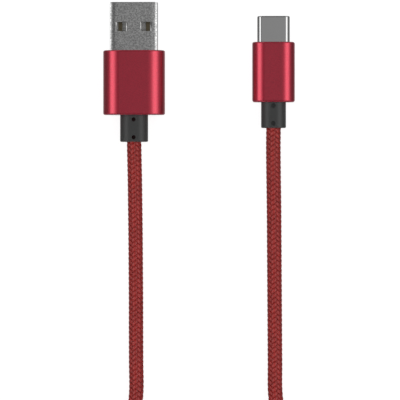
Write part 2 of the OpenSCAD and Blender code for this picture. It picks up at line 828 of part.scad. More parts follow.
// Least clear space between rings of the coil that lie at least half a turn apart
coil_least_gap = min([
    for (i = [0:len(coil_path) - 1], j = [i + coil_rings / 2:1:len(coil_path) - 1])
        norm(coil_path[i] - coil_path[j])
]) - cord_d;
echo(str("Coil: least gap to itself ", coil_least_gap, " mm"));

function on_surface(route) = [for (p = route) [p[0], p[1], cord_r + p[2]]];

module cord_run(path) {
    color(red_braid)
        tube(path, cord_d, 8, [0, -1, 0], [0, -1, 0]);
}

module cord_run_a() {
    cord_run(concat(on_surface(route_a), [coil_start]));
}

module cord_run_c() {
    cord_run(concat(on_surface(route_c), [coil_end]));
}

module cord_coil() {
    color(red_braid)
        tube(coil_path, cord_d, coil_sides, [0, -1, 0], [0, 1, 0]);
}

// Band round the bundle of turns, seen from its side: y across the bundle, z up
module tie_outline(grow) {
    first_r = coil_radius(tie_turns[0]);
    last_r = coil_radius(tie_turns[1]);
    inner_reach = sqrt(last_r * last_r - tie_w * tie_w / 4);
    y_in = coil_centre[1] + inner_reach - cord_r - tie_gap;
    y_out = coil_centre[1] + first_r + cord_r + tie_gap;
    z_top = tie_t + coil_step + cord_d + 2 * tie_gap;
    translate([(y_in + y_out) / 2, (tie_t + z_top) / 2])
        rounded_outline(y_out - y_in + 2 * grow, z_top - tie_t + 2 * grow, cord_r / 2 + grow);
}

module cable_tie() {
    flap_z = 2 * tie_t + coil_step + cord_d + 2 * tie_gap;
    flap_y = coil_centre[1] + coil_radius(tie_turns[1]) - cord_r;
    color("#1a1a1c")
        translate([coil_centre[0] - tie_w / 2, 0, 0])
            rotate([90, 0, 90])
                linear_extrude(tie_w) {
                    difference() {
                        tie_outline(tie_t);
                        tie_outline(0);
                    }
                    translate([flap_y, flap_z]) square([tie_flap_l, tie_t]);
                }
}

usb_a_shell();
usb_a_insulator();
usb_a_contact(usb_a_wire_x[0]);  // usb_a_contact_power
usb_a_contact(usb_a_wire_x[1]);  // usb_a_contact_data_minus
usb_a_contact(usb_a_wire_x[2]);  // usb_a_contact_data_plus
usb_a_contact(usb_a_wire_x[3]);  // usb_a_contact_ground
usb_a_wire(0);  // usb_a_wire_power
usb_a_wire(1);  // usb_a_wire_data_minus
usb_a_wire(2);  // usb_a_wire_data_plus
usb_a_wire(3);  // usb_a_wire_ground
usb_a_screen();
usb_a_crimp_ring();
usb_a_inner_mould();
usb_a_housing();
usb_a_strain_relief();
usb_a_cord_end();
usb_c_shell();
usb_c_insulator();
usb_c_upper_contacts();
usb_c_lower_contacts();
usb_c_upper_spring();
usb_c_lower_spring();
usb_c_latch_plate();
usb_c_latch_left();
usb_c_latch_right();
usb_c_board();
usb_c_resistor();
usb_c_capacitor();
usb_c_can();
usb_c_wire(0);  // usb_c_wire_power
usb_c_wire(1);  // usb_c_wire_data_minus
usb_c_wire(2);  // usb_c_wire_data_plus
usb_c_wire(3);  // usb_c_wire_ground
usb_c_screen();
usb_c_crimp_ring();
usb_c_inner_mould();
usb_c_housing();
usb_c_strain_relief();
usb_c_cord_end();
cord_run_a();
cord_coil();
cord_run_c();
cable_tie();
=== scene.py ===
"""Charging cable: braided red cord with a USB-A and a USB-C plug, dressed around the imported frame."""

import logging
import math
from collections.abc import Callable
from dataclasses import dataclass, field
from enum import Enum

import bmesh
import bpy
import numpy as np
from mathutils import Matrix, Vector

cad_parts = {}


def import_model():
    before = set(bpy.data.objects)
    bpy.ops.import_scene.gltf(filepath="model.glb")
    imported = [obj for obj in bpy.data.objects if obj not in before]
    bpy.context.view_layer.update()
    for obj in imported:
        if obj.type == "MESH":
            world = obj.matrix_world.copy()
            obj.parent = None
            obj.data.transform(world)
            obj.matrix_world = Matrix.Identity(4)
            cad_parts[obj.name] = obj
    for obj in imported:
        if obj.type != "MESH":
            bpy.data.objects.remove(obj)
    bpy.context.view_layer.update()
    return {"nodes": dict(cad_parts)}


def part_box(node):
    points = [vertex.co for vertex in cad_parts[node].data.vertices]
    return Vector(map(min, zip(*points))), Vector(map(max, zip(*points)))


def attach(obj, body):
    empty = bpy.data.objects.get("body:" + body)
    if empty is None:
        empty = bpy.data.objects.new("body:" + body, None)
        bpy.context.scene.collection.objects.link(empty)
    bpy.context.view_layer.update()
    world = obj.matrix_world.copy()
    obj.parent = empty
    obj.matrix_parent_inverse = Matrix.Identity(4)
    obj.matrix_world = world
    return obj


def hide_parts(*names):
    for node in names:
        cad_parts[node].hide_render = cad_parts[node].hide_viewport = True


LOG = logging.getLogger("charging_cable")
MM = 0.001
# how far a cutting tool reaches past the piece
PAST = 1 * MM
# share of a length that counts as nearly all of it, and share of a rounding over which points merge
NEARLY = 0.999
MERGED = 0.01
Pair = tuple[float, float]
Place = tuple[float, float, float]
Colour = tuple[float, float, float, float]
# where a smooth step begins and ends, and the values before and after it
Step = tuple[float, float, float, float]
Piece = bpy.types.Object
Material = bpy.types.Material
Node = bpy.types.Node
Socket = bpy.types.NodeSocket


# ---- Node graphs and finishes ----


class Graph:
    """Small helper that builds the node tree of a material or a world."""

    def __init__(self, owner: Material | bpy.types.World) -> None:
        """Starts the tree.

        Args:
            owner: The material or world.
        """
        owner.use_nodes = True
        self.owner = owner
        self.tree = owner.node_tree

    def feed(self, socket: Socket, value: object) -> None:
        """Gives an input its value.

        Args:
            socket: The input.
            value: Another node's output, or a constant.
        """
        if isinstance(value, Socket):
            self.tree.links.new(value, socket)
        else:
            socket.default_value = value

    def fill(self, node: Node, **values: object) -> None:
        """Gives a node its values.

        Args:
            node: The node.
            values: Properties in lower case, and inputs by their name with _ for a space.
        """
        for key, value in values.items():
            if key[0].islower():
                setattr(node, key, value)
            else:
                self.feed(node.inputs[key.replace("_", " ")], value)

    def add(self, kind: str, **values: object) -> Node:
        """Adds a node.

        Args:
            kind: Its type without the ShaderNode prefix.
            values: Its values, as for fill.

        Returns:
            The node.
        """
        node = self.tree.nodes.new("ShaderNode" + kind)
        self.fill(node, **values)
        return node

    def compute(self, operation: str, *values: Socket | float) -> Socket:
        """Adds a Math node.

        Args:
            operation: What it does.
            values: Its inputs, each an output or a constant.

        Returns:
            Its output.
        """
        node = self.add("Math", operation=operation)
        for socket, value in zip(node.inputs, values):
            self.feed(socket, value)
        return node.outputs[0]

    def stepped(self, source: Socket, step: Step) -> Socket:
        """Adds a smooth step of a value and returns its output."""
        ends = dict(zip(("From_Min", "From_Max", "To_Min", "To_Max"), step))
        return self.add("MapRange", interpolation_type="SMOOTHSTEP", Value=source, **ends).outputs[0]


class MaterialGraph(Graph):
    """Node tree of a new material with one shader."""

    def __init__(self, name: str) -> None:
        """Starts the material under a name."""
        super().__init__(bpy.data.materials.new(name))
        self.shader = self.tree.nodes["Principled BSDF"]

    def noise(self, place: Socket, scale: float, detail: float) -> Socket:
        """Returns a noise value: scale is in cells per unit of the coordinates, detail in octaves."""
        return self.add("TexNoise", Vector=place, Scale=scale, Detail=detail, Roughness=0.6).outputs[0]

    def paint(self, source: Socket, first: Colour, second: Colour) -> None:
        """Colours the shader between two colours.

        Args:
            source: Share of the second colour.
            first: First colour.
            second: Second colour.
        """
        node = self.add("Mix", data_type="RGBA", Factor=source)
        self.feed(node.inputs[6], first)
        self.feed(node.inputs[7], second)
        self.fill(self.shader, Base_Color=node.outputs[2])

    def gloss(self, source: Socket, middle: float, spread: float) -> None:
        """Spreads the shader's roughness about a middle value."""
        node = self.add("MapRange", Value=source, To_Min=middle - spread, To_Max=middle + spread)
        self.fill(self.shader, Roughness=node.outputs[0])

    def bump(self, height: Socket, strength: float, depth: float) -> None:
        """Raises the shader's surface."""
        node = self.add("Bump", Height=height, Strength=strength, Distance=depth)
        self.fill(self.shader, Normal=node.outputs[0])


def dress(piece: Piece, material: Material) -> None:
    """Gives a piece one material in all its slots.

    Args:
        piece: The piece.
        material: The material.
    """
    if not piece.material_slots:
        piece.data.materials.append(material)
    for slot in piece.material_slots:
        slot.material = material


@dataclass(frozen=True)
class MetalFinish:
    """Metal with a fine grain in its colour, gloss and surface."""

    name: str
    light: Colour
    dark: Colour
    roughness: float
    roughness_spread: float
    # noise cells per metre, their depth in metres, and the reach from the middle tone to either colour
    grain: float
    grain_depth: float
    grain_span: float = 0.5
    grain_strength: float = 0.35
    cloud_size: float = 22.0
    coat: float = 0.0
    sheen: float = 0.0

    def material(self) -> Material:
        """Builds the material.

        Returns:
            The material.
        """
        graph = MaterialGraph(self.name)
        place = graph.add("TexCoord").outputs["Object"]
        grain = graph.noise(place, self.grain, 4.0)
        cloud = graph.noise(place, self.grain / self.cloud_size, 2.0)
        low, high = 0.5 - self.grain_span, 0.5 + self.grain_span
        clear = graph.add("MapRange", Value=grain, From_Min=low, From_Max=high)
        graph.paint(clear.outputs[0], self.dark, self.light)
        graph.gloss(cloud, self.roughness, self.roughness_spread)
        graph.bump(grain, self.grain_strength, self.grain_depth)
        graph.fill(graph.shader, Metallic=1.0, Sheen_Weight=self.sheen, Sheen_Roughness=0.4)
        graph.fill(graph.shader, Coat_Weight=self.coat, Coat_Roughness=0.08, Coat_IOR=1.6)
        return graph.owner


@dataclass(frozen=True)
class MouldedFinish:
    """Moulded plastic, rubber or ceramic with faint mottling and an eroded surface."""

    name: str
    light: Colour
    dark: Colour
    roughness: float
    roughness_spread: float = 0.06
    grain: float = 4500.0
    grain_depth: float = 0.00002
    grain_strength: float = 0.3
    cloud_size: float = 12.0
    specular: float = 0.5
    sheen: float = 0.0

    def material(self) -> Material:
        """Builds the material.

        Returns:
            The material.
        """
        graph = MaterialGraph(self.name)
        place = graph.add("TexCoord").outputs["Object"]
        grain = graph.noise(place, self.grain, 3.0)
        cloud = graph.noise(place, self.grain / self.cloud_size, 2.0)
        graph.paint(cloud, self.dark, self.light)
        graph.gloss(grain, self.roughness, self.roughness_spread)
        graph.bump(grain, self.grain_strength, self.grain_depth)
        graph.fill(graph.shader, Specular_IOR_Level=self.specular)
        graph.fill(graph.shader, Sheen_Weight=self.sheen, Sheen_Roughness=0.5)
        return graph.owner


@dataclass(frozen=True)
class YarnFinish:
    """Glossy polyester yarn: fine plies across each strand, with painted shade where strands dive under
    others and painted light on their crests and outer sides.
    """

    name: str
    # crest: colour where the painted light of the weave is full; painted_valley_shade: near-black painted
    # shade where strands dive and on their inner sides
    crest: Colour
    painted_valley_shade: Colour
    roughness: float = 0.38
    roughness_spread: float = 0.1
    specular: float = 0.75
    fibre_stretch: Place = (9.0, 0.55, 1.0)
    fibres: float = 2.2
    fibre_tone: float = 0.45
    plies: float = 1.25
    ply_strength: float = 0.5
    ply_depth: float = 0.00005

    def material(self) -> Material:
        """Builds the material. The piece's UV map holds the place across and along each strand, and its tone
        attribute the painted light and shade of the weave.

        Returns:
            The material.
        """
        graph = MaterialGraph(self.name)
        uv = graph.add("UVMap").outputs["UV"]
        # tone attribute: painted light and shade of the weave, worked out in BraidedCord.braid
        tone = graph.add("Attribute", attribute_name="tone").outputs["Fac"]
        stretched = graph.add("Mapping", Vector=uv, Scale=self.fibre_stretch).outputs[0]
        fibres = graph.noise(stretched, self.fibres, 4.0)
        plies = graph.add("TexWave", Vector=uv, Scale=self.plies, Distortion=0.6, Detail=1.0)
        mixed = graph.compute("MULTIPLY_ADD", fibres, self.fibre_tone, tone)
        graph.paint(mixed, self.painted_valley_shade, self.crest)
        height = graph.compute("ADD", fibres, plies.outputs["Fac"])
        graph.bump(height, self.ply_strength, self.ply_depth)
        graph.gloss(fibres, self.roughness, self.roughness_spread)
        graph.fill(graph.shader, Specular_IOR_Level=self.specular)
        return graph.owner


@dataclass(frozen=True)
class FabricFinish:
    """Brushed loop fabric: small matted tufts with a soft sheen."""

    name: str
    light: Colour
    dark: Colour
    roughness: float = 0.85
    tufts: float = 2600.0
    tuft_strength: float = 0.9
    tuft_depth: float = 0.00018
    fuzz_tone: float = 0.7

    def material(self) -> Material:
        """Builds the material.

        Returns:
            The material.
        """
        graph = MaterialGraph(self.name)
        place = graph.add("TexCoord").outputs["Object"]
        tufts = graph.add("TexVoronoi", Vector=place, Scale=self.tufts, Randomness=1.0)
        fuzz = graph.noise(place, self.tufts * 2, 4.0)
        mixed = graph.compute("MULTIPLY_ADD", fuzz, self.fuzz_tone, tufts.outputs["Distance"])
        graph.paint(mixed, self.light, self.dark)
        graph.bump(mixed, self.tuft_strength, self.tuft_depth)
        graph.fill(graph.shader, Roughness=self.roughness, Sheen_Weight=0.3, Sheen_Roughness=0.5)
        return graph.owner


class Finish(Enum):
    """Finishes of the cable's pieces."""

    SATIN_STEEL = MetalFinish(
        "satin_steel", (1.0, 1.0, 0.995, 1), (0.53, 0.53, 0.53, 1), 0.15, 0.03, 2700.0, 0.000015, 0.11
    )
    BRIGHT_STEEL = MetalFinish(
        "bright_steel", (0.84, 0.84, 0.835, 1), (0.76, 0.76, 0.76, 1), 0.12, 0.03, 9000.0, 0.000004
    )
    RED_ANODISED = MetalFinish(
        "red_anodised", (0.93, 0.051, 0.106, 1), (0.71, 0.039, 0.082, 1), 0.33, 0.03, 4200.0, 0.00001, 0.2,
        coat=1.0, sheen=0.25,
    )
    # gold plate darkened and greyed far below real gold: painted shade for the contacts deep under the USB-A
    # windows
    GOLD_DARKENED_AS_SHADE = MetalFinish(
        "gold_plate_painted_shade", (0.34, 0.29, 0.19, 1), (0.27, 0.225, 0.15, 1), 0.4, 0.04, 9000.0, 0.000005
    )
    TINNED = MetalFinish(
        "tinned_screen", (0.75, 0.75, 0.74, 1), (0.55, 0.55, 0.55, 1), 0.35, 0.08, 3500.0, 0.00004
    )
    RUBBER = MouldedFinish(
        "moulded_rubber", (0.052, 0.054, 0.053, 1), (0.039, 0.0415, 0.041, 1), 0.48, specular=0.85, sheen=0.3
    )
    BLACK = MouldedFinish("dark_plastic", (0.02, 0.02, 0.021, 1), (0.012, 0.012, 0.013, 1), 0.42)
    GREY = MouldedFinish("grey_plastic", (0.93, 0.93, 0.92, 1), (0.85, 0.85, 0.84, 1), 0.45)
    BOARD = MouldedFinish("green_board", (0.012, 0.11, 0.04, 1), (0.008, 0.08, 0.03, 1), 0.3)
    CHIP = MouldedFinish("ceramic", (0.2, 0.14, 0.09, 1), (0.12, 0.085, 0.06, 1), 0.45)
    WIRE_RED = MouldedFinish("insulation_red", (0.5, 0.012, 0.012, 1), (0.42, 0.01, 0.01, 1), 0.35)
    WIRE_WHITE = MouldedFinish("insulation_white", (0.8, 0.8, 0.78, 1), (0.7, 0.7, 0.68, 1), 0.35)
    WIRE_GREEN = MouldedFinish("insulation_green", (0.02, 0.26, 0.07, 1), (0.015, 0.2, 0.05, 1), 0.35)
    WIRE_BLACK = MouldedFinish("insulation_black", (0.015, 0.015, 0.015, 1), (0.01, 0.01, 0.01, 1), 0.35)
    # cord jacket under the braid and in the strain reliefs' holes: dark red made near black as painted shade
    # for the gaps between strands and the floors of the USB-A pits
    YARN_SHADE = MouldedFinish("cord_core", (0.045, 0.004, 0.005, 1), (0.03, 0.003, 0.0035, 1), 0.6)
    # red yarn: lit crest colour, and near black as painted shade where strands dive and face inwards
    YARN = YarnFinish("red_yarn", (0.72, 0.045, 0.038, 1), (0.06, 0.004, 0.0033, 1))
    TIE = FabricFinish("loop_fabric", (0.035, 0.035, 0.037, 1), (0.012, 0.012, 0.013, 1))

    def made(self) -> Material:
        """Returns the finish's material, built on its first use."""
        known = bpy.data.materials.get(self.value.name)
        return known if known else self.value.material()


def settle(piece: Piece, finish: Finish, slot: str, *nodes: str) -> None:
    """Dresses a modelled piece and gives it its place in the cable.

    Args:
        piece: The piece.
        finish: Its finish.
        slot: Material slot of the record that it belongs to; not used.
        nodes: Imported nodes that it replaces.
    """
    dress(piece, finish.made())
    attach(piece, "cable")
    if nodes:
        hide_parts(*nodes)


# ---- Modelling by hand-like operators ----


def select_only(piece: Piece) -> None:
    """Makes a piece the only selected and the active object.

    Args:
        piece: The piece.
    """
    bpy.ops.object.select_all(action="DESELECT")
    piece.select_set(True)
    bpy.context.view_layer.objects.active = piece


def take_active(name: str) -> Piece:
    """Names the active object and moves its place, turn and size into its mesh.

    Args:
        name: Its name.

    Returns:
        The object.
    """
    piece = bpy.context.object
    piece.name = piece.data.name = name
    bpy.ops.object.transform_apply(location=True, rotation=True, scale=True)
    return piece


def start_box(name: str, low: Place, high: Place) -> Piece:
    """Adds a box between two corners.

    Args:
        name: Name of the piece.
        low: Lowest corner in metres.
        high: Highest corner in metres.

    Returns:
        The box.
    """
    middle = [(a + b) / 2 for a, b in zip(low, high)]
    bpy.ops.object.select_all(action="DESELECT")
    bpy.ops.mesh.primitive_cube_add(size=1, location=middle)
    bpy.context.object.scale = [b - a for a, b in zip(low, high)]
    return take_active(name)


def start_rod(name: str, middle: Place, radius: float, depth: float, axis: str = "Z") -> Piece:
    """Adds a cylinder.

    Args:
        name: Name of the piece.
        middle: Its middle in metres.
        radius: Radius in metres.
        depth: Length in metres.
        axis: Y or Z.

    Returns:
        The cylinder.
    """
    turn = (math.pi / 2, 0, 0) if axis == "Y" else (0, 0, 0)
    bpy.ops.object.select_all(action="DESELECT")
    bpy.ops.mesh.primitive_cylinder_add(
        vertices=48, radius=radius, depth=depth, location=middle, rotation=turn
    )
    return take_active(name)


def edit_only(piece: Piece, kind: str, wanted: Callable[..., bool]) -> None:
    """Starts editing a piece with the elements selected that a test picks.

    Args:
        piece: The piece.
        kind: VERT or EDGE.
        wanted: Test that takes a bmesh vertex or edge.
    """
    select_only(piece)
    bpy.ops.object.mode_set(mode="EDIT")
    bpy.ops.mesh.select_all(action="DESELECT")
    bpy.ops.mesh.select_mode(type=kind)
    mesh = bmesh.from_edit_mesh(piece.data)
    for element in mesh.edges if kind == "EDGE" else mesh.verts:
        element.select_set(wanted(element))
    bmesh.update_edit_mesh(piece.data)


def bevel_edges(piece: Piece, wanted: Callable[..., bool], width: float, segments: int) -> None:
    """Bevels the edges that a test picks.

    Args:
        piece: The piece.
        wanted: Test that takes a bmesh edge.
        width: Width of the bevel in metres.
        segments: Segments of the bevel.
    """
    edit_only(piece, "EDGE", wanted)
    bpy.ops.mesh.bevel(
        offset=width, offset_type="OFFSET", segments=segments, affect="EDGES", clamp_overlap=True
    )
    bpy.ops.object.mode_set(mode="OBJECT")


def runs_along(edge: bmesh.types.BMEdge, axis: int) -> bool:
    """Tells whether an edge is parallel to an axis."""
    step = edge.verts[1].co - edge.verts[0].co
    return abs(step[axis]) > NEARLY * step.length


def lies_at(edge: bmesh.types.BMEdge, axis: int, place: float) -> bool:
    """Tells whether both ends of an edge are at a place along an axis."""
    return all(abs(vert.co[axis] - place) < 1e-6 for vert in edge.verts)


def round_sides(piece: Piece, width: float, half: float, segments: int, gap: float) -> None:
    """Rounds the long edges of a bar along Y.

    Args:
        piece: The bar.
        width: Width of the rounding.
        half: Half the size that limits it; the rounding stays just short of this.
        segments: Segments of each rounding.
        gap: Distance under which points are then merged.
    """
    bevel_edges(piece, lambda edge: runs_along(edge, 1), min(width, half * NEARLY), segments)
    select_only(piece)
    bpy.ops.object.mode_set(mode="EDIT")
    bpy.ops.mesh.select_all(action="SELECT")
    bpy.ops.mesh.remove_doubles(threshold=gap)
    bpy.ops.mesh.normals_make_consistent(inside=False)
    bpy.ops.object.mode_set(mode="OBJECT")


def round_ends(piece: Piece, places: Pair, widths: Pair) -> None:
    """Rounds the edges round the ends of a bar along Y.

    Args:
        piece: The bar.
        places: Where its low and high end are.
        widths: Width of the bevel at each.
    """
    for place, width in zip(places, widths):
        if width > 0:
            bevel_edges(piece, lambda edge, at=place: lies_at(edge, 1, at), width, 5)


def rounded_bar(
    name: str, low: Place, high: Place, radius: float, segments: int, end_bevels: Pair = (0, 0)
) -> Piece:
    """Makes a bar along Y with rounded long edges and softened ends.

    Args:
        name: Name of the piece.
        low: Lowest corner in metres.
        high: Highest corner in metres.
        radius: Radius of the long edges.
        segments: Segments of each long edge.
        end_bevels: Width of the bevel at the low and the high end.

    Returns:
        The bar.
    """
    piece = start_box(name, low, high)
    half = min(high[0] - low[0], high[2] - low[2]) / 2
    round_sides(piece, radius, half, segments, half * MERGED)
    round_ends(piece, (low[1], high[1]), end_bevels)
    return piece


def crowned_bar(name: str, low: Place, high: Place, width: float, drop: float) -> Piece:
    """Makes a bar along Y whose upper and lower faces fall away a little towards its sides.

    Args:
        name: Name of the piece.
        low: Lowest corner in metres.
        high: Highest corner in metres.
        width: Width over which a face falls away.
        drop: Depth by which it has fallen at the side.

    Returns:
        The bar.
    """
    stretch = width / drop
    middle, half = (low[2] + high[2]) / 2, (high[2] - low[2]) / 2 * stretch
    piece = start_box(name, (low[0], low[1], middle - half), (high[0], high[1], middle + half))
    round_sides(piece, width, half, 32, width * MERGED)
    select_only(piece)
    piece.scale.z = 1 / stretch
    piece.location.z = middle * (1 - 1 / stretch)
    return take_active(name)


def cut(piece: Piece, tool: Piece, operation: str = "DIFFERENCE") -> None:
    """Changes a piece by a tool and deletes the tool.

    Args:
        piece: The piece.
        tool: Solid that is taken away from it, joined to it or cuts it to the part in both.
        operation: DIFFERENCE, UNION or INTERSECT.
    """
    select_only(piece)
    change = piece.modifiers.new("cut", "BOOLEAN")
    change.operation = operation
    change.solver = "EXACT"
    change.object = tool
    bpy.ops.object.modifier_apply(modifier=change.name)
    bpy.data.objects.remove(tool, do_unlink=True)


def soften(piece: Piece, width: float, angle: float = 50.0) -> None:
    """Rounds the sharp edges of a piece a little and shades it smooth.

    Args:
        piece: The piece.
        width: Width of the rounding in metres.
        angle: Degrees over which an edge is sharp.
    """
    select_only(piece)
    change = piece.modifiers.new("soften", "BEVEL")
    change.width = width
    change.segments = 2
    change.limit_method = "ANGLE"
    change.angle_limit = math.radians(angle)
    bpy.ops.object.modifier_apply(modifier=change.name)
    smooth(piece)


def smooth(piece: Piece, angle: float = 35.0) -> None:
    """Shades a piece smooth.

    Args:
        piece: The piece.
        angle: Degrees over which an edge stays sharp.
    """
    select_only(piece)
    bpy.ops.object.shade_smooth_by_angle(angle=math.radians(angle))
    change = piece.modifiers.new("even", "WEIGHTED_NORMAL")
    change.keep_sharp = True
    change.weight = 80
    bpy.ops.object.modifier_apply(modifier=change.name)


def moved(corner: Vector, by: Place) -> Place:
    """Returns a corner moved by an amount."""
    return tuple(corner[i] + by[i] for i in range(3))


# ---- Plugs ----


@dataclass
class ReliefSize:
    """Sizes of one plug's strain relief."""

    width: float
    height: float
    pit_front: float
    pit_rear: float = 1.15 * MM
    pit_radius: float = 0.53 * MM
    pit_depth: float = 0.86 * MM
    neck_step: float = 0.4 * MM
    neck_start: float = 3 * MM
    flange_lip: float = 1 * MM
    flange: float = 1 * MM
    cord_hole: float = 1.82 * MM
    cord_hole_length: float = 40 * MM
    end_bevels: Pair = (0.3 * MM, 0.08 * MM)
    groove: float = 0.045 * MM
    softening: float = 0.05 * MM

    def neck(self, clear: float = 0.0) -> Pair:
        """Returns half the width and half the height of the neck, grown by some clearance."""
        return self.width / 2 - self.neck_step + clear, self.height / 2 - self.neck_step + clear


@dataclass
class MetalHousing:
    """Rounded metal housing of a plug: a cup open towards the tip."""

    plug: str
    side: float
    relief: ReliefSize
    end_bevels: Pair
    wall: float = 0.6 * MM
    end_wall: float = 0.8 * MM
    neck_room: float = 0.03 * MM
    neck_depth: float = 3 * MM

    def build(self) -> Piece:
        """Models and dresses the housing.

        Returns:
            The housing.
        """
        node = f"{self.plug}_housing"
        low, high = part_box(node)
        middle = (low + high) / 2
        half_w, half_h = self.relief.neck(self.neck_room)
        half = (high.z - low.z) / 2
        piece = crowned_bar(f"{self.plug}_housing_metal", low, high, self.side, half)
        round_ends(piece, (low.y, high.y), self.end_bevels)
        inner_low = moved(low, (self.wall, self.end_wall, self.wall))
        inner_high = moved(high, (-self.wall, 2 * PAST, -self.wall))
        cut(piece, crowned_bar("inside", inner_low, inner_high, self.side - self.wall, half - self.wall))
        neck_low = (middle.x - half_w, low.y - PAST, middle.z - half_h)
        neck_high = (middle.x + half_w, low.y + self.neck_depth, middle.z + half_h)
        cut(piece, rounded_bar("neck_hole", neck_low, neck_high, half_h, 16))
        smooth(piece)
        settle(piece, Finish.RED_ANODISED, "red_metal", node)
        return piece


@dataclass
class StrainRelief:
    """Rubber strain relief behind a housing: body with pits, neck through the end wall, flange inside."""

    plug: str
    size: ReliefSize

    def build(self) -> Piece:
        """Models and dresses the strain relief.

        Returns:
            The strain relief.
        """
        node = f"{self.plug}_strain_relief"
        size = self.size
        low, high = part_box(node)
        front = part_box(f"{self.plug}_housing")[0].y
        middle = (low + high) / 2
        neck = size.neck()
        piece = self.bar(middle, (size.width / 2, size.height / 2), (low.y, front), size.end_bevels)
        cut(piece, self.bar(middle, neck, (low.y + size.neck_start, high.y)), "UNION")
        flange = self.bar(middle, (neck[0] + size.flange_lip, neck[1]), (high.y - size.flange, high.y))
        cut(piece, flange, "UNION")
        cut(piece, start_rod("cord_hole", middle, size.cord_hole, size.cord_hole_length, "Y"))
        for place in (front - size.pit_front, low.y + size.pit_rear):
            for side in (-1, 1):
                spot = (middle.x, place, middle.z + side * size.height / 2)
                cut(piece, start_rod("pit", spot, size.pit_radius, 2 * size.pit_depth))
        for side in (-1, 1):
            edge = middle.x + side * size.width / 2
            groove_low = (edge - size.groove, low.y - PAST, middle.z - size.groove)
            groove_high = (edge + size.groove, front + PAST, middle.z + size.groove)
            cut(piece, start_box("parting_line", groove_low, groove_high))
        soften(piece, size.softening)
        settle(piece, Finish.RUBBER, "charcoal_rubber", node)
        return piece

    def bar(self, middle: Vector, half: Pair, ends: Pair, bevels: Pair = (0, 0)) -> Piece:
        """Makes an oval bar about the plug's axis.

        Args:
            middle: Middle of the strain relief.
            half: Half the bar's width and half its height.
            ends: Where it begins and ends along Y.
            bevels: Width of the bevel at each end.

        Returns:
            The bar.
        """
        low = (middle.x - half[0], ends[0], middle.z - half[1])
        high = (middle.x + half[0], ends[1], middle.z + half[1])
        return rounded_bar(f"{self.plug}_relief_rubber", low, high, half[1], 16, bevels)


def cut_mouth(
    piece: Piece, corners: tuple[Vector, Vector], wall: float, radius: float, segments: int
) -> None:
    """Hollows a shell from end to end.

    Args:
        piece: The shell.
        corners: Its lowest and highest corner.
        wall: Thickness of its sheet.
        radius: Radius of the hollow's long edges.
        segments: Segments of each.
    """
    low = moved(corners[0], (wall, -PAST, wall))
    high = moved(corners[1], (-wall, PAST, -wall))
    cut(piece, rounded_bar("mouth", low, high, radius, segments))


@dataclass
class FlatShell:
    """Folded steel shell of the USB-A plug, with two latch windows on each face and a locked seam below."""

    radius: float = 0.3 * MM
    # width and depth by which the faces fall away at the left and the right side
    crowns: tuple[Pair, ...] = ((1.6 * MM, 0.26 * MM), (1.6 * MM, 0.42 * MM))
    wall: float = 0.3 * MM
    tip_bevel: float = 0.18 * MM
    softening: float = 0.05 * MM
    window: Pair = (2.45 * MM, 2.25 * MM)
    window_corner: float = 0.15 * MM
    window_pitch: float = 6.2 * MM
    rim_left: float = 0.29 * MM
    rim_right: float = 0.36 * MM
    rim_ends: float = 0.06 * MM
    rim_depth: float = 0.085 * MM
    window_setback: float = 5.1 * MM
    seam: float = 0.08 * MM

    def build(self) -> Piece:
        """Models and dresses the shell.

        Returns:
            The shell.
        """
        low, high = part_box("usb_a_shell")
        middle = (low[0] + high[0]) / 2
        piece = rounded_bar("usb_a_shell_steel", low, high, self.radius, 8, (0, self.tip_bevel))
        wide = 5 * PAST
        for reach, crown in zip(((0, wide), (-wide, 0)), self.crowns):
            crown_low, crown_high = moved(low, (reach[0], -PAST, 0)), moved(high, (reach[1], PAST, 0))
            cut(piece, crowned_bar("crown", crown_low, crown_high, *crown), "INTERSECT")
        cut_mouth(piece, (low, high), self.wall, self.radius / 2, 6)
        window_y = high[1] - self.window_setback - self.window[1] / 2
        for side in (-1, 1):
            self.cut_window(piece, middle + side * self.window_pitch / 2, window_y, (low.z, high.z))
        half = self.seam / 2
        seam_low = (middle - half, low[1] - PAST, low[2] - PAST)
        seam_high = (middle + half, high[1] + PAST, low[2] + 2 * self.wall)
        cut(piece, start_box("seam", seam_low, seam_high))
        soften(piece, self.softening)
        settle(piece, Finish.SATIN_STEEL, "plug_steel", "usb_a_shell")
        return piece

    def window_box(self, x: float, y: float, low: float, high: float) -> Piece:
        """Makes a box of a window's size round a place on the shell, between two heights."""
        half_w, half_l = self.window[0] / 2, self.window[1] / 2
        return start_box("window", (x - half_w, y - half_l, low), (x + half_w, y + half_l, high))

    def cut_window(self, piece: Piece, x: float, y: float, faces: Pair) -> None:
        """Cuts a window through both faces and slants its rims.

        Args:
            piece: The shell.
            x: Place of the window across the shell.
            y: Its place along the shell.
            faces: Heights of the lower and the upper face.
        """
        hole = self.window_box(x, y, faces[0] - PAST, faces[1] + PAST)
        bevel_edges(hole, lambda edge: runs_along(edge, 2), self.window_corner, 4)
        cut(piece, hole)
        for face, way in zip(faces, (-1, 1)):
            self.press_rim(piece, x, y, face, way)

    def press_rim(self, piece: Piece, x: float, y: float, face: float, way: int) -> None:
        """Slants a window's rim, as the punch leaves it.

        Args:
            piece: The shell.
            x: Place of the window across the shell.
            y: Its place along the shell.
            face: Height of the shell's face.
            way: 1 for the upper face, -1 for the lower one.
        """
        tool = self.window_box(x, y, face - self.rim_depth, face + self.rim_depth)
        edit_only(tool, "VERT", lambda vert: (vert.co.z - face) * way > 0)
        wider = 1 + (self.rim_left + self.rim_right) / (self.window[0] / 2)
        longer = 1 + 2 * self.rim_ends / (self.window[1] / 2)
        bpy.ops.transform.resize(value=(wider, longer, 1))
        bpy.ops.transform.translate(value=(self.rim_right - self.rim_left, 0, 0))
        bpy.ops.object.mode_set(mode="OBJECT")
        cut(piece, tool)


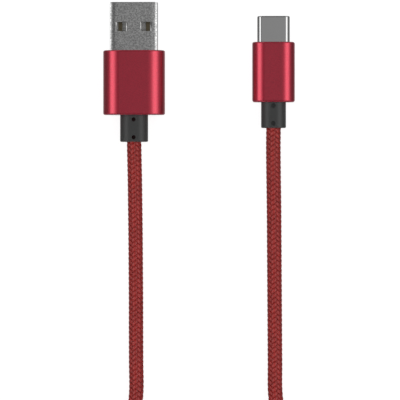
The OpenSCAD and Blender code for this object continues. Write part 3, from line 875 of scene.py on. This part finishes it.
@dataclass
class OvalShell:
    """Drawn steel shell of the USB-C plug, an oval tube with a rolled rim."""

    wall: float = 0.25 * MM
    rim: float = 0.38 * MM

    def build(self) -> Piece:
        """Models and dresses the shell.

        Returns:
            The shell.
        """
        low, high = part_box("usb_c_shell")
        radius = (high[2] - low[2]) / 2
        piece = rounded_bar("usb_c_shell_steel", low, high, radius, 16, (0, self.rim))
        cut_mouth(piece, (low, high), self.wall, radius - self.wall, 16)
        smooth(piece, 30)
        settle(piece, Finish.BRIGHT_STEEL, "plug_steel", "usb_c_shell")
        return piece


# ---- Cord ----


@dataclass
class CordRoute:
    """Middle line of the cord: from the USB-A plug to the coil, round it, and on to the USB-C plug."""

    radius: float = 1.8 * MM
    turns: float = 6.5
    rings: int = 24
    centre: Pair = (1.7 * MM, -114 * MM)
    outer: float = 26.1 * MM
    step: float = 4.05 * MM
    climb_from: float = 3.0
    climb_turns: float = 0.5
    slope: float = 0.022
    far_y: float = -141 * MM
    tuck: float = 0.5 * MM
    # x, y and height above the resting height, in millimetres
    from_usb_a: tuple[Place, ...] = (
        (-16.45, -17.7, 1.8), (-16.4, -21, 1.65), (-16.3, -27, 1.15), (-16.25, -34, 0.45),
        (-16.18, -42, 0.05), (-16.13, -50, 0), (-16.08, -58, 0), (-16.07, -66, 0), (-16.04, -74, 0),
        (-16, -81, 0), (-16.6, -86, 0), (-18.15, -91, 0), (-20.25, -96, 0.05), (-22.35, -101, 0.2),
        (-23.9, -106, 0.45),
    )
    from_usb_c: tuple[Place, ...] = (
        (18.9, -14.2, 1), (18.85, -19, 0.9), (18.9, -26, 0.45), (19, -34, 0.1), (19.05, -42, 0),
        (19.1, -50, 0), (19.15, -58, 0), (19.2, -66, 0), (19.25, -74, 0), (19.3, -81, 0),
        (19.95, -86, 0), (21.6, -91, 0.5), (23.7, -96, 1.7), (25.75, -101, 3.1), (27.3, -106, 4.25),
    )

    def coil_place(self, turn: float) -> np.ndarray:
        """Works out where the cord's middle is on the coil.

        Args:
            turn: Turns of the coil up to there.

        Returns:
            The place in metres.
        """
        angle = math.pi + 2 * math.pi * turn
        reach = self.outer - self.step * min(turn, self.turns - turn)
        x = self.centre[0] + reach * math.cos(angle)
        y = self.centre[1] + reach * math.sin(angle)
        part = min(1.0, max(0.0, (turn - self.climb_from) / self.climb_turns))
        climb = self.step * part * part * (3 - 2 * part)
        return np.array((x, y, self.radius + climb + self.slope * (y - self.far_y)))

    def lead(self, points: tuple[Place, ...]) -> list[np.ndarray]:
        """Returns a free stretch's points in metres."""
        return [np.array((x, y, self.radius / MM + rise)) * MM for x, y, rise in points]

    def line(self, spacing: float) -> tuple[np.ndarray, list[float]]:
        """Works out the whole middle line.

        Args:
            spacing: Distance between its points in metres.

        Returns:
            The points, and the distances along the cord at which the coil begins and ends.
        """
        straight = np.array((0, 2 * self.radius, 0))
        count = int(self.turns * self.rings)
        coil = [self.coil_place(i / self.rings) for i in range(count + 1)]
        first = self.lead(self.from_usb_a) + [coil[0] + straight]
        first.insert(0, first[0] + np.array((0, self.tuck, 0)))
        last = [coil[-1] + straight] + self.lead(self.from_usb_c)[::-1]
        last.append(last[-1] + np.array((0, self.tuck, 0)))
        knots = np.array(first + coil + last)
        fine, marks = through(knots, (len(first) - 1, len(first) + len(coil)))
        walked = distances(fine)
        even = np.arange(0, walked[-1], spacing)
        return read_along(even, walked, fine), [float(walked[m]) for m in marks]


def through(knots: np.ndarray, marks: tuple[int, ...], per_span: int = 12) -> tuple[np.ndarray, list[int]]:
    """Draws a smooth curve through points.

    Args:
        knots: The points.
        marks: Indices of points whose places on the curve are wanted.
        per_span: Points of the curve from one knot to the next.

    Returns:
        Close points on the curve, and the marks' indices among them.
    """
    h = np.linspace(0, 1, per_span, endpoint=False)[:, None]
    padded = np.vstack((2 * knots[0] - knots[1], knots, 2 * knots[-1] - knots[-2]))
    spans = []
    for a, b, c, d in zip(padded, padded[1:], padded[2:], padded[3:]):
        length = np.linalg.norm(c - b)
        into = (c - a) / (length + np.linalg.norm(b - a)) * length
        out = (d - b) / (np.linalg.norm(d - c) + length) * length
        spans.append(
            (2 * h**3 - 3 * h**2 + 1) * b
            + (h**3 - 2 * h**2 + h) * into
            + (3 * h**2 - 2 * h**3) * c
            + (h**3 - h**2) * out
        )
    return np.vstack(spans + [knots[-1:]]), [m * per_span for m in marks]


def distances(points: np.ndarray) -> np.ndarray:
    """Returns the distance along a line of points at each of them."""
    return np.concatenate(([0.0], np.cumsum(np.linalg.norm(np.diff(points, axis=0), axis=1))))


def read_along(at: np.ndarray, walked: np.ndarray, values: np.ndarray) -> np.ndarray:
    """Reads points or axes of a line at distances along it."""
    return np.stack([np.interp(at, walked, values[:, k]) for k in range(3)], axis=1)


def squared(wave: np.ndarray, power: float) -> np.ndarray:
    """Makes a sine or cosine fuller, so that a round section turns squarish."""
    return np.sign(wave) * np.abs(wave) ** power


def carried_frames(points: np.ndarray) -> tuple[np.ndarray, np.ndarray]:
    """Carries a pair of axes along a line without twist.

    Args:
        points: Points of the line.

    Returns:
        The two axes square to the line at each point.
    """
    ahead = np.gradient(points, axis=0)
    ahead /= np.linalg.norm(ahead, axis=1)[:, None]
    first = np.empty_like(points)
    axis = np.cross(ahead[0], (0.0, 0.0, 1.0))
    for n, direction in enumerate(ahead):
        axis = axis - np.dot(axis, direction) * direction
        axis = axis / np.linalg.norm(axis)
        first[n] = axis
    return first, np.cross(ahead, first)


@dataclass
class BraidedCord:
    """Cord with a tubular braid of sixteen strands, each over two and under two of the others."""

    route: CordRoute = field(default_factory=CordRoute)
    length: float = 0.99
    diameter: float = 3.6 * MM
    core_radius: float = 1.4 * MM
    strands_each_way: int = 8
    lay_length: float = 10 * MM
    strand_width: float = 0.94 * MM
    strand_thickness: float = 0.38 * MM
    # how squarish a strand's section is across and up, and how flat its crests are
    fullness: Pair = (0.8, 0.9)
    crest: float = 1.25
    wave: float = 0.17 * MM
    fluff: float = 0.09 * MM
    spacing: float = 0.1 * MM
    core_spacing: int = 10
    coil_pieces: int = 5
    # steps along a strand between two crossings, and points round it
    run_detail: tuple[int, int] = (4, 8)
    coil_detail: tuple[int, int] = (3, 6)
    # painted light and shade: middle brightness, and by how much a crest (lighter, darker where the strand
    # dives), the outer side (lighter, the inner side darker) and the strand's own random tone move it
    painted_shade_tones: tuple[float, float, float, float] = (0.1, 0.28, 0.34, 0.06)
    # how the shade and the plies shift from strand to strand
    shade_shift: Pair = (7.3, 2.1)
    ply_shift: float = 0.37
    # middle line, distance along it, axes square to it, and where the coil begins and ends
    points: np.ndarray = field(init=False)
    walked: np.ndarray = field(init=False)
    frames: tuple[np.ndarray, np.ndarray] = field(init=False)
    coil_span: list[float] = field(init=False)

    def __post_init__(self) -> None:
        """Works out the middle line and the axes carried along it."""
        self.points, self.coil_span = self.route.line(self.spacing)
        self.walked = distances(self.points)
        self.frames = carried_frames(self.points)

    def build(self, tie: Piece) -> None:
        """Args:
            tie: The tie round the coil; not used.
        """
        coil_from, coil_to = self.coil_span
        total = float(self.walked[-1])
        core = self.core(self.points[:: self.core_spacing])
        share = (coil_to - coil_from) / self.coil_pieces
        pieces = [self.braid("cord_braid_usb_a_run", 0.0, coil_from, self.run_detail)]
        for part in range(self.coil_pieces):
            start = coil_from + part * share
            pieces.append(self.braid(f"cord_braid_coil_{part + 1}", start, start + share, self.coil_detail))
        pieces.append(self.braid("cord_braid_usb_c_run", coil_to, total, self.run_detail))
        tuple(self.route.lead(self.route.from_usb_a)[0])
        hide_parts("cord_run_a", "cord_coil", "cord_run_c")
        LOG.info("cord: %.1f mm of braid", total / MM)

    def core(self, points: np.ndarray) -> Piece:
        """Makes the jacket under the braid as a curve.

        Args:
            points: Points of the middle line.

        Returns:
            The curve.
        """
        data = bpy.data.curves.new("cord_core", "CURVE")
        data.dimensions = "3D"
        spline = data.splines.new("POLY")
        spline.points.add(len(points) - 1)
        spline.points.foreach_set("co", np.hstack((points, np.ones((len(points), 1)))).ravel())
        data.bevel_depth = self.core_radius
        data.bevel_resolution = 3
        data.use_fill_caps = True
        return self.placed(data, Finish.YARN_SHADE)

    def placed(self, data: bpy.types.Curve | bpy.types.Mesh, finish: Finish) -> Piece:
        """Adds a piece of the cord.

        Args:
            data: Its curve or mesh.
            finish: Its finish.

        Returns:
            The piece.
        """
        piece = bpy.data.objects.new(data.name, data)
        bpy.context.collection.objects.link(piece)
        settle(piece, finish, "red_braid")
        return piece

    def braid(self, name: str, start: float, end: float, detail: tuple[int, int]) -> Piece:
        """Makes the braid's strands over one stretch of the cord.

        Args:
            name: Name of the piece.
            start: Distance along the cord where the stretch begins.
            end: Distance along the cord where it ends.
            detail: Steps along a strand between two crossings, and points round it.

        Returns:
            The braid of that stretch, one mesh.
        """
        per_crossing, sides = detail
        crossing = self.lay_length / (2 * self.strands_each_way)
        steps = max(2, round((end - start) / crossing * per_crossing))
        along = np.linspace(start, end, steps + 1)
        around = 2 * math.pi * np.arange(sides) / sides
        across = self.strand_width / 2 * squared(np.cos(around), self.fullness[0])
        lift = self.strand_thickness / 2 * squared(np.sin(around), self.fullness[1])
        middle_radius = self.diameter / 2 + self.fluff - self.wave - self.strand_thickness / 2
        lay_angle = math.atan2(2 * math.pi * middle_radius, self.lay_length)
        base, painted_weave_shade, painted_side_shade, by_strand = self.painted_shade_tones
        places, painted_shade_tones, uvs = [], [], []
        for way in (-1, 1):
            for index in range(self.strands_each_way):
                turn = 2 * math.pi * (index / self.strands_each_way + way * along / self.lay_length)
                column = turn * self.strands_each_way / math.pi
                weave = np.cos(math.pi / 2 * (column - 0.5))
                height = way * self.wave * np.clip(self.crest * weave, -1, 1)
                s = along[:, None] - way * math.sin(lay_angle) * across[None, :]
                angle = turn[:, None] + math.cos(lay_angle) * across[None, :] / middle_radius
                radius = middle_radius + height[:, None] + lift[None, :]
                places.append(self.on_cord(s, angle, radius))
                # painted light on crests and outer sides, painted shade where a strand dives and on its
                # inner side
                shade = base + painted_weave_shade * (way * weave[:, None]) + painted_side_shade * np.sin(around)[None, :]
                own = by_strand * math.sin(self.shade_shift[0] * index + self.shade_shift[1] * way)
                painted_shade_tones.append(np.clip(shade + own, 0, 1))
                u = np.broadcast_to(np.arange(sides + 1) / sides, (steps + 1, sides + 1))
                v = np.broadcast_to((along / MM + self.ply_shift * index)[:, None], (steps + 1, sides + 1))
                uvs.append(np.stack((u, v), axis=2))
        return self.strand_mesh(name, places, painted_shade_tones, uvs)

    def on_cord(self, s: np.ndarray, angle: np.ndarray, radius: np.ndarray) -> np.ndarray:
        """Turns places on the cord into points.

        Args:
            s: Distances along the cord.
            angle: Angles round it.
            radius: Distances from its middle.

        Returns:
            The points.
        """
        flat = np.clip(s.ravel(), 0, self.walked[-1])
        centre, first, second = (read_along(flat, self.walked, v) for v in (self.points, *self.frames))
        a, r = angle.ravel()[:, None], radius.ravel()[:, None]
        return (centre + r * (np.cos(a) * first + np.sin(a) * second)).reshape(*s.shape, 3)

    def strand_mesh(
        self, name: str, places: list[np.ndarray], painted_shade_tones: list[np.ndarray], uvs: list[np.ndarray]
    ) -> Piece:
        """Joins the strands' rings into one mesh with closed ends.

        Args:
            name: Name of the piece.
            places: Points of each strand, by ring and side.
            painted_shade_tones: Brightness of each point: painted light and shade of the weave, with each
                strand's own tone.
            uvs: Place across and along the strand, by ring and side.

        Returns:
            The mesh's object.
        """
        rings, sides = places[0].shape[:2]
        i, k = np.meshgrid(np.arange(rings - 1), np.arange(sides), indexing="ij")
        j = (k + 1) % sides
        quad = np.stack((i * sides + k, (i + 1) * sides + k, (i + 1) * sides + j, i * sides + j), axis=2)
        corner_uv = np.stack((i, i + 1, i + 1, i), axis=2), np.stack((k, k, k + 1, k + 1), axis=2)
        quads, caps = [], []
        for base in range(0, len(places) * rings * sides, rings * sides):
            last = base + (rings - 1) * sides
            quads += (quad.reshape(-1, 4) + base).tolist()
            caps += [list(range(base, base + sides)), list(range(last + sides - 1, last - 1, -1))]
        data = bpy.data.meshes.new(name)
        data.from_pydata(np.concatenate([p.reshape(-1, 3) for p in places]).tolist(), [], quads + caps)
        wall = np.concatenate([uv[corner_uv].reshape(-1, 2) for uv in uvs])
        ends = np.zeros((len(caps) * sides, 2))
        data.uv_layers.new(name="UVMap").data.foreach_set("uv", np.vstack((wall, ends)).ravel())
        # stored as the tone attribute: the painted light and shade that the yarn's material reads
        tone = data.attributes.new("tone", "FLOAT", "POINT")
        tone.data.foreach_set("value", np.concatenate([t.ravel() for t in painted_shade_tones]))
        data.polygons.foreach_set("use_smooth", [True] * len(data.polygons))
        return self.placed(data, Finish.YARN)


@dataclass
class CableTie:
    """Hook-and-loop band round the turns of the coil, with its free end on top."""

    route: CordRoute = field(default_factory=CordRoute)
    width: float = 8 * MM
    thickness: float = 0.7 * MM
    gap: float = 0.35 * MM
    flap: float = 9 * MM
    flap_corner: float = 1.2 * MM
    softening: float = 0.12 * MM
    turns: Pair = (0.75, 2.75)

    def build(self) -> Piece:
        """Models and dresses the tie.

        Returns:
            The tie.
        """
        route = self.route
        first, last = (route.outer - route.step * turn for turn in self.turns)
        reach = math.sqrt(last**2 - self.width**2 / 4)
        inner_y = route.centre[1] + reach - route.radius - self.gap
        outer_y = route.centre[1] + first + route.radius + self.gap
        top = self.thickness + route.step + 2 * route.radius + 2 * self.gap
        left, right = route.centre[0] - self.width / 2, route.centre[0] + self.width / 2
        low, high = (left, inner_y, self.thickness), (right, outer_y, top)
        piece = self.band("tie_band", low, high, self.thickness)
        cut(piece, self.band("tie_hole", moved(low, (-PAST, 0, 0)), moved(high, (PAST, 0, 0)), 0))
        flap_low = (left, route.centre[1] + last - route.radius, top + self.thickness)
        flap_high = (right, flap_low[1] + self.flap, flap_low[2] + self.thickness)
        flap = start_box("tie_flap", flap_low, flap_high)
        bevel_edges(flap, lambda edge: runs_along(edge, 2), self.flap_corner, 5)
        cut(piece, flap, "UNION")
        soften(piece, self.softening)
        settle(piece, Finish.TIE, "tie_fabric", "cable_tie")
        return piece

    def band(self, name: str, low: Place, high: Place, grow: float) -> Piece:
        """Makes a box along X, grown square to it, with rounded long edges.

        Args:
            name: Name of the piece.
            low: Lowest corner before it is grown.
            high: Highest corner before it is grown.
            grow: Distance by which it is grown.

        Returns:
            The box.
        """
        piece = start_box(name, moved(low, (0, -grow, -grow)), moved(high, (0, grow, grow)))
        bevel_edges(piece, lambda edge: runs_along(edge, 0), self.route.radius / 2 + grow, 8)
        return piece


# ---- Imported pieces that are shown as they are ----


@dataclass
class PackedPieces:
    """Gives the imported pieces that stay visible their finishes, by the first part of a name that fits."""

    finishes: tuple[tuple[str, Finish], ...] = (
        ("usb_a_insulator", Finish.GREY),
        ("insulator", Finish.BLACK),
        ("contact", Finish.GOLD_DARKENED_AS_SHADE),
        ("wire_power", Finish.WIRE_RED),
        ("wire_data_minus", Finish.WIRE_WHITE),
        ("wire_data_plus", Finish.WIRE_GREEN),
        ("wire_ground", Finish.WIRE_BLACK),
        ("screen", Finish.TINNED),
        ("crimp_ring", Finish.BRIGHT_STEEL),
        ("inner_mould", Finish.BLACK),
        ("cord_end", Finish.YARN_SHADE),
        ("spring", Finish.BRIGHT_STEEL),
        ("latch", Finish.BRIGHT_STEEL),
        ("board", Finish.BOARD),
        ("resistor", Finish.CHIP),
        ("capacitor", Finish.CHIP),
        ("can", Finish.TINNED),
    )

    def build(self, nodes: dict[str, Piece]) -> None:
        """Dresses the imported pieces.

        Args:
            nodes: The frame's nodes by name.
        """
        for name, piece in nodes.items():
            for part, finish in self.finishes:
                if part in name:
                    dress(piece, finish.made())
                    break


# ---- Studio ----


@dataclass
class Studio:
    """Camera, soft light by direction and pale floor."""

    centre: Pair = (0.28 * MM, -32.45 * MM)
    distance: float = 1.0
    focus_height: float = 3.6 * MM
    seen_height: float = 101.394 * MM
    lean: float = 2.5
    sensor: float = 36.0
    # degrees to the right of straight up, and brightness
    light: tuple[Pair, ...] = (
        (-173, 0.6), (-145, 0.28), (-112, 0.12), (-72, 0.16), (-64, 0.34), (-60, 0.7), (-57, 1.1),
        (-53, 1.36), (-37, 1.36), (-33, 1.1), (-29, 0.68), (-24, 0.4), (-18, 0.22), (-12, 0.1), (-7, 0.15),
        (-3, 0.275), (9, 0.285), (14, 0.31), (19, 0.4), (24, 0.62), (29, 1.0), (33, 1.3), (36, 1.36),
        (48, 1.36), (56, 1.06), (61, 0.74), (66, 0.42), (74, 0.25), (90, 0.15), (112, 0.1), (140, 0.28),
        (180, 0.6),
    )
    # the panels fade ahead and behind, but not near the horizon and at the sides
    fade: Step = (0.3, 0.5, 1.0, 0.3)
    horizon: Step = (0.8, 0.95, 0.0, 1.0)
    above_floor: Step = (-0.05, 0.15, 0.0, 1.0)
    sides: Step = (0.75, 0.95, 0.0, 1.0)
    # how far sideways and ahead the studio's corners are, and their glow by height, which only gloss shows
    corner_across: Step = (0.2, 0.6, 0.0, 1.0)
    corner_ahead: Step = (0.3, 0.65, 0.0, 1.0)
    corner_glow: Step = (-0.5, 0.7, 0.35, 0.62)
    backdrop: float = 0.9
    floor_size: float = 6.0
    floor_drop: float = 0.1 * MM
    floor_tone: Colour = (0.45, 0.45, 0.45, 1)
    floor_glow: float = 0.88

    def camera(self) -> None:
        """Places the camera above the plugs, leaning a little to the right."""
        data = bpy.data.cameras.new("camera")
        data.sensor_width = self.sensor
        data.lens = self.sensor * self.distance / self.seen_height
        data.clip_end = 20
        camera = bpy.data.objects.new("camera", data)
        lean = math.radians(self.lean)
        away = self.distance * math.sin(lean)
        height = self.distance * math.cos(lean) + self.focus_height
        camera.location = (self.centre[0] + away, self.centre[1], height)
        camera.rotation_euler = (0, lean, 0)
        bpy.context.collection.objects.link(camera)
        bpy.context.scene.camera = camera
        bpy.context.scene.view_settings.view_transform = "Standard"

    def lights(self) -> None:
        """Lights the scene from all round: two long soft panels left and right of straight up."""
        world = bpy.data.worlds.new("studio")
        bpy.context.scene.world = world
        sky = Graph(world)
        direction = sky.add("TexCoord").outputs["Generated"]
        across, ahead, up = sky.add("SeparateXYZ", Vector=direction).outputs
        sideways, forward = sky.compute("ABSOLUTE", across), sky.compute("ABSOLUTE", ahead)
        far = sky.compute("MULTIPLY", sky.stepped(forward, self.horizon), sky.stepped(up, self.above_floor))
        ends = sky.compute("MAXIMUM", far, sky.stepped(sideways, self.sides))
        fade = sky.compute("MAXIMUM", sky.stepped(forward, self.fade), ends)
        share = sky.compute("MULTIPLY_ADD", sky.compute("ARCTAN2", across, up), 0.5 / math.pi, 0.5)
        askew = sky.stepped(sideways, self.corner_across), sky.stepped(forward, self.corner_ahead)
        rays = sky.add("LightPath").outputs
        corners = sky.compute("MULTIPLY", sky.compute("MULTIPLY", *askew), sky.stepped(up, self.corner_glow))
        corners = sky.compute("MULTIPLY", corners, rays["Is Glossy Ray"])
        bright = sky.compute("MAXIMUM", self.panels(sky, share, fade), corners)
        seen = sky.add("Mix", Factor=rays["Is Camera Ray"], A=bright, B=self.backdrop)
        sky.fill(sky.tree.nodes["Background"], Color=(1, 1, 1, 1), Strength=seen.outputs[0])

    def panels(self, sky: Graph, share: Socket, fade: Socket) -> Socket:
        """Adds the light table's ramp.

        Args:
            sky: The world's tree.
            share: A ray's turn to the right, where 0.5 is straight up and 1 is straight down.
            fade: Share of the light that is left in the ray's direction.

        Returns:
            The brightness in the ray's direction.
        """
        brightest = max(value for _, value in self.light)
        node = sky.add("ValToRGB", Fac=share)
        stops = node.color_ramp.elements
        while len(stops) < len(self.light):
            stops.new(0.5)
        for stop, (spot, value) in zip(stops, self.light):
            stop.position = 0.5 + spot / 360
            stop.color = (value / brightest,) * 3 + (1,)
        strength = sky.compute("MULTIPLY", node.outputs["Color"], fade)
        return sky.compute("MULTIPLY", strength, brightest)

    def floor(self) -> None:
        """Lays a plain pale floor that is bright by itself and leaves hardly a shadow."""
        bpy.ops.object.select_all(action="DESELECT")
        bpy.ops.mesh.primitive_plane_add(size=self.floor_size, location=(0, 0, -self.floor_drop))
        floor = bpy.context.object
        floor.name = "floor"
        graph = MaterialGraph("floor_white")
        graph.fill(graph.shader, Base_Color=self.floor_tone, Roughness=1.0, Specular_IOR_Level=0.0)
        graph.fill(graph.shader, Emission_Color=(1, 1, 1, 1), Emission_Strength=self.floor_glow)
        dress(floor, graph.owner)
        floor.visible_glossy = False
        floor.visible_diffuse = False


def main() -> None:
    """Builds the scene."""
    logging.basicConfig(level=logging.INFO, format="%(message)s")
    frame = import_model()
    studio = Studio()
    studio.camera()
    tie = CableTie().build()
    BraidedCord().build(tie)
    usb_a_relief = ReliefSize(7.1 * MM, 5.2 * MM, pit_front=1.15 * MM)
    usb_c_relief = ReliefSize(
        6.3 * MM, 5.0 * MM, pit_front=0.88 * MM, pit_radius=0.58 * MM, pit_depth=0.65 * MM
    )
    builders = (
        MetalHousing("usb_a", 4.3 * MM, usb_a_relief, (0.45 * MM, 0.42 * MM)),
        MetalHousing("usb_c", 3.3 * MM, usb_c_relief, (0.58 * MM, 0.45 * MM)),
        StrainRelief("usb_a", usb_a_relief),
        StrainRelief("usb_c", usb_c_relief),
        FlatShell(),
        OvalShell(),
    )
    for builder in builders:
        piece = builder.build()
        LOG.info("%s: %d faces", piece.name, len(piece.data.polygons))
    PackedPieces().build(frame["nodes"])
    studio.lights()
    studio.floor()


if __name__ == "__main__":
    main()
